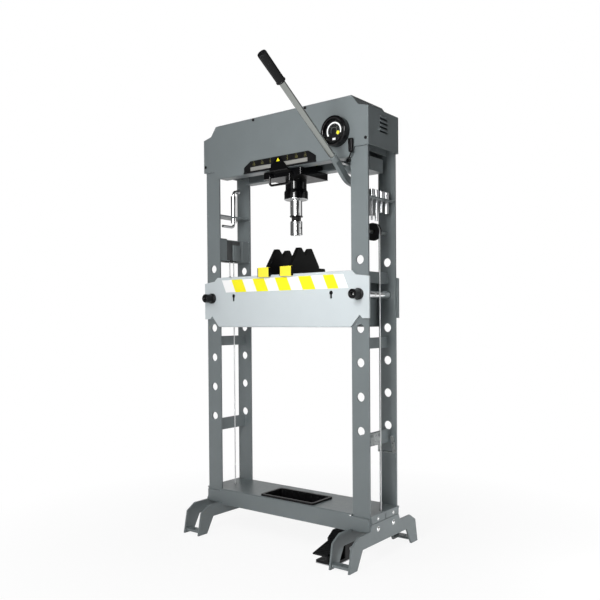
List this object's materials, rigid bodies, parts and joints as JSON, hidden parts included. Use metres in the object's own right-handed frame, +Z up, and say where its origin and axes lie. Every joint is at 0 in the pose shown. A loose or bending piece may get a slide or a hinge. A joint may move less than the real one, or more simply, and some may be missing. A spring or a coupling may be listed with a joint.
{
  "type": "workshop press",
  "caption": "Free-standing H-frame workshop press with a sliding hydraulic cylinder, a hand pump lever, a pedal and a pinned table that ropes lift.",
  "frame": {"origin": "on the floor, at the centre of the four anchor holes and midway between the columns", "axes": "+X to the operator's right, +Y away from the operator, +Z up"},
  "size_m": [0.928, 0.8743, 1.8726],
  "materials": {
    "frame_grey": "powder coat, fine texture",
    "table_grey": "powder coat, fine texture",
    "black_gloss": "gloss black paint",
    "black_plain": "moulded black",
    "bright_steel": "hard chrome",
    "plain_steel": "turned steel",
    "zinc": "galvanised",
    "rope_steel": "galvanised wire rope",
    "yellow": "moulded yellow",
    "dial_white": "printed dial",
    "needle_black": "matt black",
    "lens": "clear"
  },
  "bodies": {
    "frame": {"head_front_plate": "frame_grey", "head_rear_plate": "frame_grey", "head_cover": "frame_grey", "post_front_left": "frame_grey", "post_front_right": "frame_grey", "post_rear_left": "frame_grey", "post_rear_right": "frame_grey", "column_stays": "frame_grey", "base": "frame_grey", "foot_left_inner": "frame_grey", "foot_left_outer": "frame_grey", "foot_right_inner": "frame_grey", "foot_right_outer": "frame_grey", "foot_bars": "frame_grey", "winch_housing": "frame_grey", "tool_holders": "frame_grey", "pump": "frame_grey", "table_end_left": "frame_grey", "table_end_right": "frame_grey", "table_rear_beam": "frame_grey", "table_front_beam": "table_grey", "v_block_1": "black_gloss", "v_block_2": "black_gloss", "tool_tray": "black_plain", "scale_plate": "black_plain", "gauge_case": "black_plain", "rope_pulleys": "black_plain", "pedal_base": "black_plain", "punch_set": "bright_steel", "crank_sleeve": "bright_steel", "lever_pivot_pin": "plain_steel", "pedal_pin": "plain_steel", "pulley_axles": "plain_steel", "winch_drum": "plain_steel", "crank": "plain_steel", "hook_bracket": "zinc", "rope_long": "rope_steel", "rope_short": "rope_steel", "v_block_caps": "yellow", "gauge_dial": "dial_white", "gauge_lens": "lens"},
    "carriage": {"carriage": "black_gloss", "carriage_bail": "black_gloss", "carriage_pointer": "black_gloss", "cylinder": "black_gloss", "gland": "black_gloss"},
    "ram": {"ram": "bright_steel", "ram_nose": "bright_steel"},
    "lever": {"lever_arm": "frame_grey", "lever_tube": "bright_steel", "lever_grip": "black_plain"},
    "piston": {"pump_piston": "bright_steel"},
    "release": {"release_lever": "black_gloss", "release_knob": "black_plain"},
    "needle": {"gauge_needle": "needle_black"},
    "pin_left": {"pin_shaft_left": "bright_steel", "pin_grip_left": "black_plain"},
    "pin_right": {"pin_shaft_right": "bright_steel", "pin_grip_right": "black_plain"},
    "treadle": {"pedal_treadle": "black_plain"}
  },
  "joints": [
    {"name": "carriage_slide", "type": "slide", "parent": "frame", "child": "carriage", "axis": [1, 0, 0], "range_m": [-0.15, 0.15]},
    {"name": "ram_slide", "type": "slide", "parent": "carriage", "child": "ram", "axis": [0, 0, -1], "range_m": [0, 0.135], "stiffness_N_per_m": 500, "springref_m": -0.25},
    {"name": "lever_hinge", "type": "hinge", "parent": "frame", "child": "lever", "pos_m": [0.335, -0.012, 1.5], "axis": [1, 0, 0], "range_deg": [0, 35]},
    {"name": "piston_slide", "type": "slide", "parent": "frame", "child": "piston", "axis": [0, -1, 0], "range_m": [0, 0.03]},
    {"name": "release_turn", "type": "hinge", "parent": "frame", "child": "release", "pos_m": [0.356, -0.113, 1.578], "axis": [0, 1, 0], "range_deg": [0, 60]},
    {"name": "needle_turn", "type": "hinge", "parent": "frame", "child": "needle", "pos_m": [0.303, -0.1379, 1.698], "axis": [0, 1, 0], "range_deg": [0, 270], "stiffness_Nm_per_rad": 0.001},
    {"name": "pin_left_pull", "type": "slide", "parent": "frame", "child": "pin_left", "axis": [0, -1, 0], "range_m": [0, 0.26]},
    {"name": "pin_right_pull", "type": "slide", "parent": "frame", "child": "pin_right", "axis": [0, -1, 0], "range_m": [0, 0.26]},
    {"name": "treadle_hinge", "type": "hinge", "parent": "frame", "child": "treadle", "pos_m": [0.31, -0.112, 0.044], "axis": [1, 0, 0], "range_deg": [0, 10], "stiffness_Nm_per_rad": 12, "springref_deg": -6.88}
  ],
  "couplings": [
    {"joint": "piston_slide", "follows": "lever_hinge", "m_per_rad": 0.045}
  ]
}
